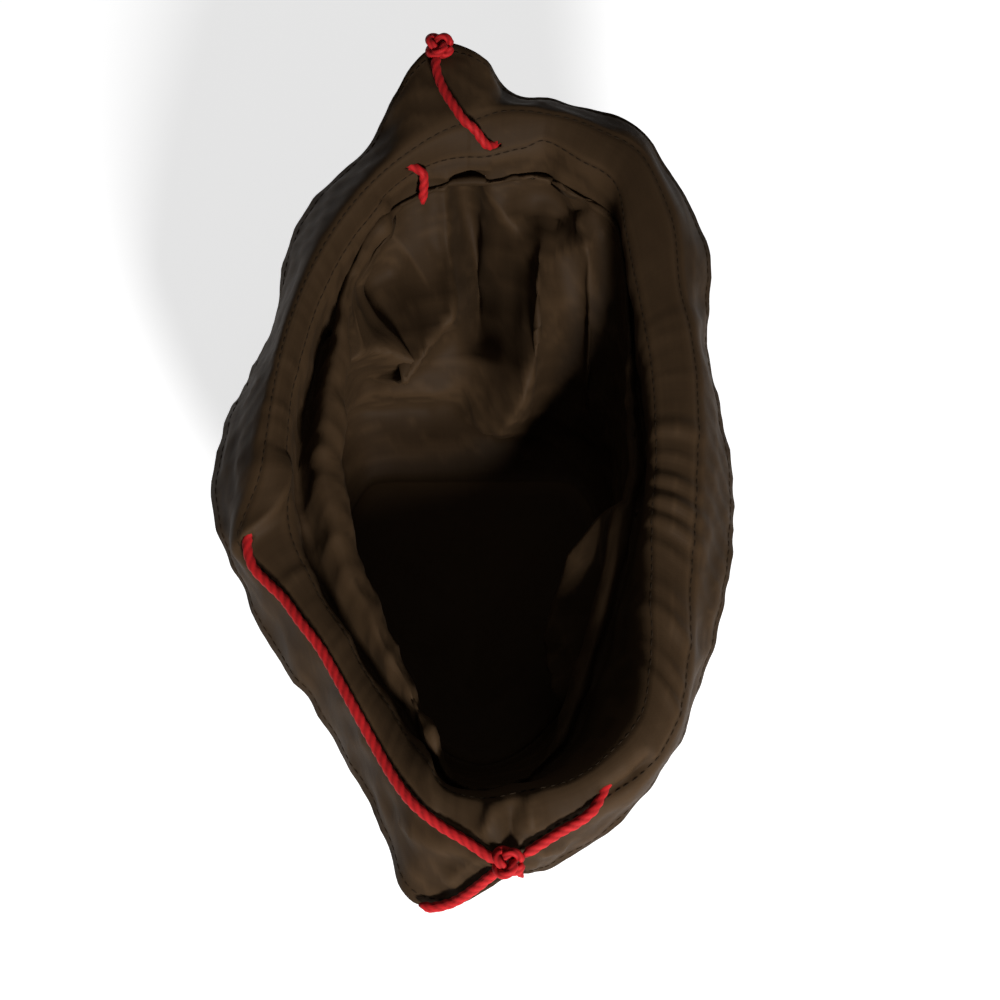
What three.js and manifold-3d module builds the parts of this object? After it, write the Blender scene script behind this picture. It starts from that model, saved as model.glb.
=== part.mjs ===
// A kinchaku drawstring pouch: a lined cloth bag that stands slumped on its base with its mouth pulled open.
// Millimetres, +Z up, +Y towards the far side. The origin is on the floor, under the middle of the pouch.
//
// The cloth is drawn as upright sections around the mouth. Each section is a spline through named rings:
// the free edge of the ruffle, the crest of the casing, the neck seam, the wall and the base. Bearings run
// clockwise in degrees, seen from above: 0 is the far side, 90 the right, 180 the near side and 270 the left.

import * as THREE from 'three';
import { mergeVertices } from 'three/addons/utils/BufferGeometryUtils.js';
import Module from 'manifold-3d';

// Driving dimensions of the bag
const MOUTH_WIDTH = 118;
const MOUTH_LENGTH = 230;
const RIM_HEIGHT = 100;
const BODY_WIDTH = 146;
const BODY_LENGTH = 240;
const BODY_FULL_HEIGHT = 40;
const FOOT_WIDTH = 116;
const FOOT_LENGTH = 190;
const LINING_BASE_WIDTH = 90;
const LINING_BASE_LENGTH = 110;
const LINING_BASE_SETBACK = 30;

// Cloth, cord and the room between them
const CLOTH_THICKNESS = 0.8;
const LAYER_GAP = 0.4;
const CORD_DIAMETER = 3.4;
const CORD_CLEARANCE = 0.6;
const CORD_STEP = 2.2;
const SLIT_LENGTH = 29;
const KNOT_RADIUS = 3.1;
const KNOT_CORD = 3.1;
const KNOT_TURN_TILTS = [-40, 40];

// Depth of the folds and gathers
const GATHER_COUNT = 25;
const GATHER_DEPTH = 2;
const GATHER_SPREAD = 0.9;
const FLUTE_DEPTH = 1.6;
const DRAPE_DEPTH = 3.2;

// How finely the cloth is faceted
const COLUMNS = 4 * GATHER_COUNT;
const RUFFLE_STEPS = 2;
const CASING_STEPS = 3;
const WALL_STEPS = 2;

// Rings as [bearing, reach as a share of the mouth's half width and half length, height as a share of the rim's]
const EDGE_RING = [
  [5, 1.22, 1.08],
  [10, 1.21, 0.97],
  [25, 1.27, 0.97],
  [48, 1.5, 0.92],
  [63, 1.58, 0.84],
  [76, 1.45, 0.79],
  [98, 1.52, 0.76],
  [117, 1.47, 0.7],
  [140, 1.37, 0.62],
  [157, 1.29, 0.62],
  [168, 1.28, 0.73],
  [192, 1.32, 0.58],
  [208, 1.16, 0.56],
  [235, 1.19, 0.56],
  [267, 1.52, 0.68],
  [295, 1.31, 0.64],
  [305, 1.34, 0.74],
  [330, 1.18, 0.95],
  [352, 1.3, 1.12],
];
const CREST_RING = [
  [28, 1.14, 1.03],
  [53, 1.43, 1.02],
  [74, 1.31, 1.0],
  [107, 1.32, 0.97],
  [125, 1.35, 0.9],
  [149, 1.28, 0.86],
  [169, 1.23, 0.82],
  [200, 1.05, 0.82],
  [222, 1.0, 0.84],
  [240, 1.07, 0.84],
  [256, 1.3, 0.81],
  [266, 1.16, 0.93],
  [287, 1.1, 0.97],
  [338, 0.98, 1.04],
  [358, 1.02, 1.06],
];
const NECK_RING = [
  [6, 0.92, 0.96],
  [28, 1.07, 0.94],
  [49, 1.26, 0.92],
  [67, 1.08, 0.88],
  [109, 1.08, 0.84],
  [126, 1.19, 0.8],
  [147, 1.14, 0.76],
  [168, 1.05, 0.74],
  [211, 0.87, 0.78],
  [240, 0.87, 0.82],
  [289, 0.93, 0.89],
  [341, 0.9, 0.95],
];

// The lining's base as [bearing, reach as a share of its half width and half length]
const BASE_RING = [
  [0, 1.0],
  [47, 1.3],
  [84, 0.95],
  [135, 0.95],
  [171, 1.0],
  [215, 0.85],
  [276, 0.95],
  [313, 1.3],
];

// The slack roll of lining below the neck as [bearing, how far it stands inwards, height as a share of the rim's]
const ROLL_RING = [
  [0, 2, 0.6],
  [40, 2, 0.6],
  [70, 5, 0.64],
  [95, 10, 0.64],
  [125, 15, 0.56],
  [150, 9, 0.5],
  [170, 3, 0.5],
  [200, 6, 0.58],
  [235, 12, 0.66],
  [275, 13, 0.7],
  [300, 9, 0.68],
  [325, 3, 0.6],
];

// Folds in the wall of the lining as routes of [bearing, level], level 0 at the base and 1 at the neck
const WALL_FOLDS = [
  { route: [[352, 0.95], [355, 0.6], [332, 0.42], [304, 0.7]], width: 11, depth: 8 },
  { route: [[26, 0.74], [18, 0.44], [7, 0.24], [359, 0.06]], width: 13, depth: 9 },
  { route: [[31, 0.68], [47, 0.48], [49, 0.26], [44, 0.1]], width: 9, depth: 7 },
];

// Cord routes as [bearing, across the band, side]. Across is 0 at the free edge, 1 at the crest and 2 at the neck.
// Side 1 lies on the cloth, -1 runs in the casing between the two layers, and 0 passes through a slit.
const LEFT_CORD_ROUTE = [
  [174, 0.98, 1], [180, 1, 1], [186, 1, 1], [193, 1, 1], [200, 1, 1], [208, 1, 1], [216, 1, 1], [224, 1, 1],
  [232, 1, 1], [239, 1, 1], [245, 1, 1], [250, 1.08, 1], [254, 1.28, 1], [258, 1.42, 0.85], [263, 1.5, 0],
  [268, 1.5, -0.9], [273, 1.5, -1], [279, 1.5, -1], [288, 1.5, -1], [297, 1.5, -1], [306, 1.5, -1], [315, 1.5, -1], [323, 1.5, -1],
  [330, 1.5, -1], [336, 1.5, -0.9], [341, 1.55, 0], [345, 1.6, 0.9], [348, 1.62, 1],
];
const RIGHT_CORD_ROUTE = [
  [167, 0.98, 1], [162, 1, 1], [157, 1, 1], [152, 1.12, 1], [147, 1.4, 0.9], [141, 1.5, 0], [135, 1.5, -0.9],
  [129, 1.5, -1], [122, 1.5, -1], [114, 1.5, -1], [106, 1.5, -1], [97, 1.5, -1], [88, 1.5, -1], [79, 1.5, -1],
  [70, 1.5, -1], [61, 1.5, -1], [52, 1.5, -1], [43, 1.5, -1], [35, 1.5, -1], [28, 1.5, -1], [21, 1.6, -0.9],
  [15, 1.7, 0], [9, 1.75, 0.9], [5, 1.65, 1], [2, 1.4, 1], [359.5, 1.15, 1], [357, 0.9, 1], [354.5, 0.66, 1],
  [352, 0.45, 1], [350.7, 0.3, 1], [351, 0.18, 1],
];
const PULL_TAIL_ROUTE = [
  [172.3, 0.76, 1], [174, 0.52, 1], [176.5, 0.28, 1], [179, 0.17, 1], [182, 0.11, 1], [185, 0.08, 1], [188, 0.06, 1],
  [191, 0.05, 1],
];
const SHORT_TAIL_ROUTE = [[169.4, 0.69, 1], [168.6, 0.5, 1], [168, 0.3, 1], [167.5, 0.12, 1]];

// Seats of the knots as [bearing, across]
const NEAR_KNOT_SEAT = [170.5, 0.95];
const FAR_KNOT_SEAT = [351.5, 0.06];

const LINING_Z = CLOTH_THICKNESS + LAYER_GAP + CLOTH_THICKNESS / 2;
const CASING_ROOM = CORD_DIAMETER + 2 * CORD_CLEARANCE;
const CREST_ROW = RUFFLE_STEPS;
const NECK_ROW = RUFFLE_STEPS + CASING_STEPS;
const BASE_ROW = NECK_ROW + 4 * WALL_STEPS;
const RADIANS = Math.PI / 180;

// Smooth closed curve through a table of [bearing, values...], with no overshoot between its rows
function around(table) {
  const count = table.length;
  const row = (k) => table[((k % count) + count) % count];
  const bearingOf = (k) => row(k)[0] + 360 * Math.floor(k / count);
  const slope = (k, column) => {
    const before = (row(k)[column] - row(k - 1)[column]) / (bearingOf(k) - bearingOf(k - 1));
    const after = (row(k + 1)[column] - row(k)[column]) / (bearingOf(k + 1) - bearingOf(k));
    return before * after > 0 ? (2 * before * after) / (before + after) : 0;
  };
  return (bearing) => {
    const wrapped = ((bearing % 360) + 360) % 360;
    const found = table.findIndex((entry) => entry[0] > wrapped);
    const end = found < 0 ? count : found;
    const span = bearingOf(end) - bearingOf(end - 1);
    const t = (wrapped - bearingOf(end - 1)) / span;
    return row(end).slice(1).map((_, index) => {
      const column = index + 1;
      const [a, b] = [row(end - 1)[column], row(end)[column]];
      const [slopeA, slopeB] = [slope(end - 1, column) * span, slope(end, column) * span];
      const ease = t * t * (3 - 2 * t);
      return a + (b - a) * ease + slopeA * t * (1 - t) ** 2 - slopeB * t * t * (1 - t);
    });
  };
}

const edgeAt = around(EDGE_RING);
const crestAt = around(CREST_RING);
const neckAt = around(NECK_RING);
const baseAt = around(BASE_RING);
const rollAt = around(ROLL_RING);

function onEllipse(bearing, width, length, reach, z, setback = 0) {
  const angle = bearing * RADIANS;
  return new THREE.Vector3((width / 2) * reach * Math.sin(angle), (length / 2) * reach * Math.cos(angle) - setback, z);
}

function onMouth(bearing, [reach, height]) {
  return onEllipse(bearing, MOUTH_WIDTH, MOUTH_LENGTH, reach, height * RIM_HEIGHT);
}

// Unit vector from the axis of the pouch towards a bearing
function outwards(bearing) {
  return onEllipse(bearing, MOUTH_WIDTH, MOUTH_LENGTH, 1, 0).normalize();
}

// How high the puckers of the drawn casing stand off the smooth cloth, at their crests
function gatherHeight(across) {
  return GATHER_DEPTH * Math.max(0, 1 - Math.abs(across - 1.5) / GATHER_SPREAD);
}

function gather(bearing, across) {
  const angle = bearing * RADIANS;
  const wave = 0.5 + 0.5 * Math.cos(GATHER_COUNT * angle);
  return gatherHeight(across) * wave * (0.7 + 0.3 * Math.sin(3 * angle));
}

// The slow waves along the free edge of the ruffle
function flute(bearing) {
  const angle = bearing * RADIANS;
  return FLUTE_DEPTH * (Math.sin(11 * angle) + 0.6 * Math.sin(17 * angle + 1));
}

// The long upright folds of the slumped outer wall
function drape(bearing) {
  const angle = bearing * RADIANS;
  return DRAPE_DEPTH * (Math.sin(7 * angle + 0.5) + 0.7 * Math.sin(12 * angle) + 0.4 * Math.sin(19 * angle + 2));
}

// How far a fold lifts the wall of the lining at a bearing and level
function foldLift(bearing, level, fold) {
  const wallLength = Math.hypot(RIM_HEIGHT, MOUTH_LENGTH / 2 - LINING_BASE_LENGTH / 2);
  const unrolled = (b, l) => new THREE.Vector2((((b + 180) % 360) - 180) * RADIANS * (MOUTH_WIDTH / 2), l * wallLength);
  const route = new THREE.SplineCurve(fold.route.map(([b, l]) => unrolled(b, l)));
  const here = unrolled(bearing, level);
  const distance = Math.min(...route.getPoints(24).map((point) => point.distanceTo(here)));
  return fold.depth * Math.exp(-((distance / fold.width) ** 2));
}

// One section of the lining from the free edge to the inner base, as the points that its spline passes through
function liningSection(bearing) {
  const edge = onMouth(bearing, edgeAt(bearing));
  const crest = onMouth(bearing, crestAt(bearing));
  const neck = onMouth(bearing, neckAt(bearing));
  const [baseReach] = baseAt(bearing);
  const [rollDepth, rollHeight] = rollAt(bearing);
  const inBase = (share) => onEllipse(bearing, LINING_BASE_WIDTH, LINING_BASE_LENGTH, baseReach * share, LINING_Z,
    LINING_BASE_SETBACK);
  const foot = inBase(1);
  const onWall = (z, inset) => {
    const level = (z - foot.z) / (neck.z - foot.z);
    return new THREE.Vector3().lerpVectors(foot, neck, level).addScaledVector(outwards(bearing), -inset);
  };
  edge.z += flute(bearing);
  const rollZ = rollHeight * RIM_HEIGHT;
  const groove = onWall((neck.z + rollZ) / 2, rollDepth * 0.25);
  const roll = onWall(rollZ, rollDepth);
  const hollow = onWall(rollZ * 0.45, rollDepth * 0.2);
  return [edge, crest, neck, groove, roll, hollow, foot, inBase(0.6)];
}

// One section of the shell below the neck, given where the neck lies on its side of the casing
function shellSection(bearing, neck) {
  const body = onEllipse(bearing, BODY_WIDTH, BODY_LENGTH, 1, BODY_FULL_HEIGHT);
  const shoulder = new THREE.Vector3().lerpVectors(body, neck, 0.55);
  [body, shoulder].forEach((point) => point.addScaledVector(outwards(bearing), drape(bearing)));
  const foot = onEllipse(bearing, FOOT_WIDTH, FOOT_LENGTH, 1, CLOTH_THICKNESS / 2);
  const underside = onEllipse(bearing, FOOT_WIDTH, FOOT_LENGTH, 0.8, CLOTH_THICKNESS / 2);
  return [neck, shoulder, body, foot, underside];
}

// Points along a spline, with the given number of steps in each of its spans
function sample(section, stepsInSpan) {
  const curve = new THREE.CatmullRomCurve3(section, false, 'centripetal');
  const spans = section.length - 1;
  const points = [section[0].clone()];
  stepsInSpan.forEach((steps, span) => {
    for (let step = 1; step <= steps; step += 1) {
      points.push(curve.getPoint((span + step / steps) / spans));
    }
  });
  return points;
}

const bearings = Array.from({ length: COLUMNS }, (_, column) => (column * 360) / COLUMNS);

// Turns a list of sections into rows that run around the mouth
function asRows(sections) {
  return sections[0].map((_, row) => sections.map((section) => section[row]));
}

// Where a row lies across the band: 0 at the free edge, 1 at the crest, 2 at the neck and 4 at the base
function acrossOf(row) {
  if (row <= CREST_ROW) return row / RUFFLE_STEPS;
  if (row <= NECK_ROW) return 1 + (row - CREST_ROW) / CASING_STEPS;
  return 2 + (2 * (row - NECK_ROW)) / (BASE_ROW - NECK_ROW);
}

// Unit normals of a grid of rows, pointing to the inside of the pouch
function normalsOf(rows) {
  return rows.map((row, r) => row.map((point, c) => {
    const count = row.length;
    const along = new THREE.Vector3().subVectors(row[(c + 1) % count], row[(c + count - 1) % count]);
    const down = new THREE.Vector3().subVectors(rows[Math.min(r + 1, rows.length - 1)][c], rows[Math.max(r - 1, 0)][c]);
    return along.cross(down).negate().normalize();
  }));
}

// Moves each point of a grid along its normal
function displaced(rows, normals, offset) {
  return rows.map((row, r) => row.map((point, c) => point.clone().addScaledVector(normals[r][c], offset(r, c))));
}

// The middle surface of the lining without its gathers
function smoothLining() {
  const steps = [RUFFLE_STEPS, CASING_STEPS, WALL_STEPS, WALL_STEPS, WALL_STEPS, WALL_STEPS, 1];
  const rows = asRows(bearings.map((bearing) => sample(liningSection(bearing), steps)));
  return displaced(rows, normalsOf(rows), (r, c) => {
    if (r <= NECK_ROW || r >= BASE_ROW) return 0;
    const level = (BASE_ROW - r) / (BASE_ROW - NECK_ROW);
    return WALL_FOLDS.reduce((sum, fold) => sum + foldLift(bearings[c], level, fold), 0);
  });
}

const smooth = smoothLining();
const smoothNormals = normalsOf(smooth);
const lining = displaced(smooth, smoothNormals, (r, c) => gather(bearings[c], acrossOf(r)));

// The middle surface of the shell: it follows the lining from the free edge to the neck, with room for the cord
// in the casing, and hangs free below
function shellRows() {
  const band = displaced(smooth.slice(0, NECK_ROW + 1), smoothNormals, (r, c) => {
    const room = r > CREST_ROW && r < NECK_ROW ? CASING_ROOM : LAYER_GAP;
    return -(CLOTH_THICKNESS + room + gather(bearings[c], acrossOf(r)));
  });
  const below = asRows(bearings.map((bearing, c) => {
    const section = shellSection(bearing, band[NECK_ROW][c]);
    return sample(section, [WALL_STEPS, WALL_STEPS, WALL_STEPS, 1]).slice(1);
  }));
  return [...band, ...below];
}

// A closed solid of cloth on both sides of a grid of rows, drawn together to a point in the middle of the base
function clothSolid(rows, centre) {
  const normals = normalsOf(rows);
  const half = CLOTH_THICKNESS / 2;
  const last = rows.length - 1;
  const face = (side) => {
    const grid = displaced(rows, normals, () => side * half);
    grid[last].forEach((point) => point.setZ(centre.z + side * half));
    return grid;
  };
  const apex = (side) => centre.clone().setZ(centre.z + side * half);
  const [inside, outside] = [face(1), face(-1)];
  const corners = [];
  const quad = (a, b, c, d) => corners.push(a, b, c, a, c, d);
  for (let c = 0; c < COLUMNS; c += 1) {
    const next = (c + 1) % COLUMNS;
    for (let r = 0; r < last; r += 1) {
      quad(inside[r][c], inside[r + 1][c], inside[r + 1][next], inside[r][next]);
      quad(outside[r][c], outside[r][next], outside[r + 1][next], outside[r + 1][c]);
    }
    quad(outside[0][next], outside[0][c], inside[0][c], inside[0][next]);
    corners.push(inside[last][c], apex(1), inside[last][next]);
    corners.push(outside[last][next], apex(-1), outside[last][c]);
  }
  return mergeVertices(new THREE.BufferGeometry().setFromPoints(corners), 1e-4);
}

// A point off the smooth band, at a bearing and across as in the cord routes
function offBand(bearing, across, lift) {
  const column = ((((bearing % 360) + 360) % 360) * COLUMNS) / 360;
  const row = across < 1 ? across * RUFFLE_STEPS : CREST_ROW + (across - 1) * CASING_STEPS;
  const [c, r] = [Math.floor(column), Math.floor(row)];
  const mix = (grid) => {
    const upper = new THREE.Vector3().lerpVectors(grid[r][c], grid[r][(c + 1) % COLUMNS], column - c);
    const lower = new THREE.Vector3().lerpVectors(grid[r + 1][c], grid[r + 1][(c + 1) % COLUMNS], column - c);
    return upper.lerp(lower, row - r);
  };
  return mix(smooth).addScaledVector(mix(smoothNormals).normalize(), lift);
}

// The middle of a cord lies under the smooth cloth in the casing, and over the gathers on top of it
function cordPoints(route) {
  const lift = CLOTH_THICKNESS / 2 + CORD_CLEARANCE + CORD_DIAMETER / 2;
  return route.map(([bearing, across, side]) => (
    offBand(bearing, across, side * (lift + (side > 0 ? gatherHeight(across) : 0)))));
}

// A plain round cord along a route
function cordGeometry(route) {
  const path = new THREE.CatmullRomCurve3(cordPoints(route), false, 'centripetal');
  const steps = Math.round(path.getLength() / (CORD_STEP * CORD_DIAMETER));
  const section = new THREE.Shape().absarc(0, 0, CORD_DIAMETER / 2, 0, 2 * Math.PI);
  return new THREE.ExtrudeGeometry(section, { steps, bevelEnabled: false, extrudePath: path, curveSegments: 4 });
}

// Boolean work on closed meshes
const wasm = await Module();
wasm.setup();

function toSolid(geometry) {
  const bare = geometry.clone();
  bare.deleteAttribute('normal');
  bare.deleteAttribute('uv');
  const merged = mergeVertices(bare, 1e-4);
  const vertProperties = Float32Array.from(merged.attributes.position.array);
  const triVerts = Uint32Array.from(merged.index.array);
  return new wasm.Manifold(new wasm.Mesh({ numProp: 3, vertProperties, triVerts }));
}

function toGeometry(solid) {
  const mesh = solid.getMesh();
  const geometry = new THREE.BufferGeometry();
  geometry.setAttribute('position', new THREE.BufferAttribute(mesh.vertProperties, 3));
  geometry.setIndex(new THREE.BufferAttribute(mesh.triVerts, 1));
  return geometry;
}

// The buttonholes of the lining: a slot along the cord wherever a route passes from one side to the other
function slitGeometries(route) {
  const points = cordPoints(route);
  const height = 2 * (GATHER_DEPTH + CLOTH_THICKNESS);
  return route.flatMap(([bearing, across, side], index) => {
    if (side !== 0) return [];
    const normal = offBand(bearing, across, 1).sub(points[index]);
    const along = new THREE.Vector3().subVectors(points[index + 1], points[index - 1]);
    along.addScaledVector(normal, -along.dot(normal)).normalize();
    const slot = new THREE.BoxGeometry(SLIT_LENGTH, CASING_ROOM, height);
    const turn = new THREE.Matrix4().makeBasis(along, new THREE.Vector3().crossVectors(normal, along), normal);
    return [slot.applyMatrix4(turn.setPosition(points[index]))];
  });
}

function liningGeometry() {
  const bag = toSolid(clothSolid(lining, new THREE.Vector3(0, -LINING_BASE_SETBACK, LINING_Z)));
  const slits = [LEFT_CORD_ROUTE, RIGHT_CORD_ROUTE].flatMap(slitGeometries);
  return toGeometry(slits.reduce((solid, slit) => solid.subtract(toSolid(slit)), bag));
}

// A tied knot: turns of the cord drawn tight over each other
function knotGeometry(seat) {
  const turns = KNOT_TURN_TILTS.map((tilt) => {
    const turn = new THREE.TorusGeometry(KNOT_RADIUS, KNOT_CORD / 2, 6, 8);
    return toSolid(turn.rotateX(tilt * RADIANS).rotateZ(tilt * RADIANS));
  });
  const knot = toGeometry(turns.reduce((solid, turn) => solid.add(turn)));
  const lift = KNOT_RADIUS + KNOT_CORD / 2 + CORD_CLEARANCE;
  return knot.translate(...offBand(...seat, lift).toArray());
}

function cloth(color, roughness) {
  return new THREE.MeshStandardMaterial({ color, roughness, metalness: 0 });
}

function cord() {
  return new THREE.MeshStandardMaterial({ color: 0xb01e22, roughness: 0.7, metalness: 0 });
}

const pouch = new THREE.Group();
pouch.name = 'kinchaku_pouch';

function add(name, geometry, material) {
  const mesh = new THREE.Mesh(geometry, material);
  mesh.name = name;
  pouch.add(mesh);
}

add('outer_shell', clothSolid(shellRows(), new THREE.Vector3(0, 0, CLOTH_THICKNESS / 2)), cloth(0x3b3026, 0.8));
add('lining', liningGeometry(), cloth(0x372c22, 0.6));

// The origin is under the middle of the cloth
const middle = new THREE.Box3().setFromObject(pouch).getCenter(new THREE.Vector3());
pouch.position.set(-middle.x, -middle.y, 0);

add('left_draw_cord', cordGeometry(LEFT_CORD_ROUTE), cord());
add('right_draw_cord', cordGeometry(RIGHT_CORD_ROUTE), cord());
add('pull_tail', cordGeometry(PULL_TAIL_ROUTE), cord());
add('short_tail', cordGeometry(SHORT_TAIL_ROUTE), cord());
add('near_knot', knotGeometry(NEAR_KNOT_SEAT), cord());
add('far_knot', knotGeometry(FAR_KNOT_SEAT), cord());

export default pouch;
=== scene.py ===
"""A kinchaku drawstring pouch, standing slumped with its mouth pulled open.

Metres, +Z up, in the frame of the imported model. Bearings run clockwise in degrees, seen from above:
0 is the far side, 90 the right, 180 the near side with the knot and 270 the left.
"""

import math

import bpy
import numpy as np
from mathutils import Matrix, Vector


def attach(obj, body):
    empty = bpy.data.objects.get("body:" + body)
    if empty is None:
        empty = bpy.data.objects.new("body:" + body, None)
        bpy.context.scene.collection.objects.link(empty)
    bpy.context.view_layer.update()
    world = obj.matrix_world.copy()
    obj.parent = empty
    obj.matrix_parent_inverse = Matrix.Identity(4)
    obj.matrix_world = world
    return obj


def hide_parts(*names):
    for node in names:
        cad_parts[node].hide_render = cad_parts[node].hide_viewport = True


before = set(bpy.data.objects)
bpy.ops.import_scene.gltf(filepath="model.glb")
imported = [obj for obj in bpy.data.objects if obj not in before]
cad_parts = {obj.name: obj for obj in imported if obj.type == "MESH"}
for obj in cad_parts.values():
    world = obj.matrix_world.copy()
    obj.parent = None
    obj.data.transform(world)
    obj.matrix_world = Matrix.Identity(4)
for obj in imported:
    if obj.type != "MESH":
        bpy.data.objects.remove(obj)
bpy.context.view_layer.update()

bl_info = {
    "name": "Kinchaku pouch",
    "version": (1, 0, 0),
    "blender": (4, 5, 0),
    "location": "View3D > Sidebar > Pouch",
    "description": "Builds a lined drawstring pouch with a gathered casing and a red cord",
    "category": "Object",
}

MM = 0.001

# Rings as [bearing, reach as a share of the mouth's half width and half length, height as a share of
# the rim's]
EDGE_RING = [
    (5, 1.22, 1.08), (10, 1.21, 0.97), (25, 1.27, 0.97), (48, 1.5, 0.92), (63, 1.58, 0.84),
    (76, 1.45, 0.79), (98, 1.52, 0.76), (117, 1.47, 0.7), (140, 1.37, 0.62), (157, 1.29, 0.62),
    (168, 1.28, 0.73), (192, 1.32, 0.58), (203, 1.19, 0.57), (209, 1.14, 0.57), (220, 1.11, 0.57),
    (232, 1.14, 0.57), (239, 1.2, 0.57), (253, 1.33, 0.61), (267, 1.5, 0.68), (295, 1.31, 0.64),
    (305, 1.34, 0.74), (330, 1.18, 0.95), (352, 1.3, 1.12),
]
CREST_RING = [
    (10, 1.08, 1.05), (23, 1.15, 1.04), (37, 1.27, 1.02), (50, 1.39, 1.0), (58, 1.395, 0.98),
    (70, 1.315, 0.965), (77, 1.32, 0.955), (89, 1.3, 0.945), (100, 1.285, 0.935), (111, 1.31, 0.915),
    (119, 1.37, 0.895), (127, 1.41, 0.875), (134, 1.39, 0.86), (148, 1.28, 0.84), (159, 1.23, 0.83),
    (171, 1.235, 0.82), (179, 1.17, 0.82), (188, 1.125, 0.82), (195, 1.08, 0.82), (201, 1.05, 0.82),
    (208, 1.015, 0.82), (216, 0.99, 0.83), (224, 0.98, 0.83), (231, 0.995, 0.83), (238, 1.04, 0.83),
    (245, 1.1, 0.825), (251, 1.2, 0.815), (256, 1.3, 0.81), (266, 1.16, 0.93), (287, 1.1, 0.97),
    (338, 0.99, 1.04), (358, 1.015, 1.06),
]
NECK_RING = [
    (3, 0.945, 0.95), (18, 1.02, 0.96), (24, 1.08, 0.98), (35, 1.12, 0.98), (46, 1.19, 0.98),
    (54, 1.12, 0.98), (63, 1.07, 0.98), (72, 1.05, 0.98), (90, 1.04, 0.97), (104, 1.04, 0.95),
    (116, 1.1, 0.94), (125, 1.19, 0.92), (132, 1.24, 0.91), (142, 1.2, 0.89), (150, 1.16, 0.88),
    (165, 1.08, 0.87), (176, 1.06, 0.86), (187, 1.03, 0.83), (197, 0.96, 0.8), (211, 0.88, 0.78),
    (228, 0.88, 0.81), (243, 0.95, 0.82), (258, 1.03, 0.84), (272, 1.03, 0.87), (289, 1.0, 0.9),
    (310, 0.97, 0.92), (330, 0.96, 0.94), (343, 0.95, 0.95),
]

# The lining's base as [bearing, reach as a share of its half width and half length]
BASE_RING = [
    (0, 1.0), (12, 1.022), (24, 1.095), (34, 1.206), (42, 1.29), (50, 1.27), (84, 0.95), (135, 0.95),
    (171, 1.0), (215, 0.85), (276, 0.95), (310, 1.27), (318, 1.29), (326, 1.206), (336, 1.095),
    (348, 1.022),
]

# The slack bead of lining below the neck as [bearing, millimetres inwards, height as a share of the
# rim's, radius in millimetres, millimetres inwards of the wall half-way down]
BEAD_RING = [
    (0, -4, 0.86, 0.8, 0), (30, -5, 0.85, 0.8, -4), (48, -4, 0.84, 1, -6), (62, -2, 0.8, 1.4, -4),
    (73, 0.5, 0.76, 2.2, -2), (85, 0.5, 0.745, 2.5, 0), (95, 3, 0.725, 2.6, 1), (105, 5, 0.69, 3, 2),
    (121, 12.5, 0.625, 3.5, 4), (132, 16.5, 0.58, 4, 5), (141, 11, 0.545, 4.5, 3), (152, 3, 0.52, 2, 1),
    (165, -1, 0.6, 1, 0), (178, 0, 0.68, 1.2, 0), (186, 3, 0.73, 2.2, 0), (193, 9, 0.735, 3.5, 1),
    (204, 11, 0.72, 4.2, 2), (220, 11.3, 0.725, 5.2, 2), (240, 11.5, 0.73, 6, 2),
    (255, 13.5, 0.75, 6.2, 2), (266, 10.5, 0.77, 6.2, 1), (282, 9.5, 0.78, 6, 1),
    (297, 8, 0.79, 5.4, 1), (310, 2, 0.83, 2, 0), (324, -3, 0.85, 0.8, -2),
]

# Folds in the cloth: route of [bearing, across], height in millimetres, then the width in millimetres
# on the left and on the right of the route, as seen from inside the pouch. Across is 0 at the free
# edge, 1 at the crest, 2 at the neck and, by height on the wall, 3 at the base.
FOLDS = [
    ([(350.5, 2.03), (351.8, 2.16), (352.6, 2.4), (352, 2.5)], 12, 7, 4),
    ([(358.5, 2.4), (345, 2.46), (328, 2.55), (316.5, 2.44), (301, 2.19)], 24, 5, 13),
    ([(320, 2.56), (327, 2.66), (340, 2.7), (355.6, 2.68)], 3, 5, 3),
    ([(26, 2.25), (22, 2.5), (15.5, 2.67), (9, 2.84)], 26, 12, 8),
    ([(34.8, 2.18), (41, 2.27), (46, 2.4), (47.6, 2.61), (43.3, 2.84)], 9, 4.5, 9),
    ([(7, 2.04), (5.4, 2.12), (11, 2.19), (18, 2.24)], 5, 9, 5),
    ([(26.6, 2.06), (30.8, 2.16), (36.7, 2.21), (42, 2.23)], 3.5, 5, 4),
    ([(330, 2.05), (326, 2.1), (320, 2.15), (313, 2.15)], 6, 4, 8),
    ([(92, 2.3), (100, 2.38), (108, 2.48), (116, 2.56), (126, 2.6), (138, 2.55)], 17, 7, 5),
    ([(356, 2.06), (358, 2.2), (2, 2.38), (6, 2.58)], -28, 9, 7),
    ([(14, 2.22), (20, 2.19), (27, 2.2), (34, 2.28)], -6, 9, 9),
    ([(338, 2.3), (328, 2.32), (318, 2.28)], -8, 9, 9),
    ([(304, 2.7), (318, 2.75), (332, 2.79), (346, 2.79), (0, 2.75)], -9, 10, 12),
    ([(176, 1.2), (173.5, 1.6), (172, 1.9)], 2.5, 2, 2),
    ([(163.5, 1.2), (163, 1.6), (162, 1.9)], 2.5, 2, 2),
    ([(176.5, 0.75), (181, 0.5), (186, 0.3)], 2, 3, 2),
    ([(164, 0.8), (160, 0.6), (156, 0.4)], 2, 3, 2),
    ([(188, 1), (190, 1.5), (193, 2), (196, 2.1)], 3, 6, 2.5),
    ([(146, 1.15), (140, 1.18), (134, 1.2)], -3.5, 2.5, 2.5),
    ([(167.8, 1.75), (168.5, 1.4), (168.9, 1.15)], -2.5, 1.5, 1.5),
    ([(268, 2), (259.3, 1.64), (257, 1.1), (256, 0.6)], 4, 2, 12),
    ([(201, 0.41), (187, 0.7), (172.6, 0.78)], 2, 4, 2),
]
# Height above the base, in millimetres, over which the folds of the wall run out
FOLD_FADE = 14
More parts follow.
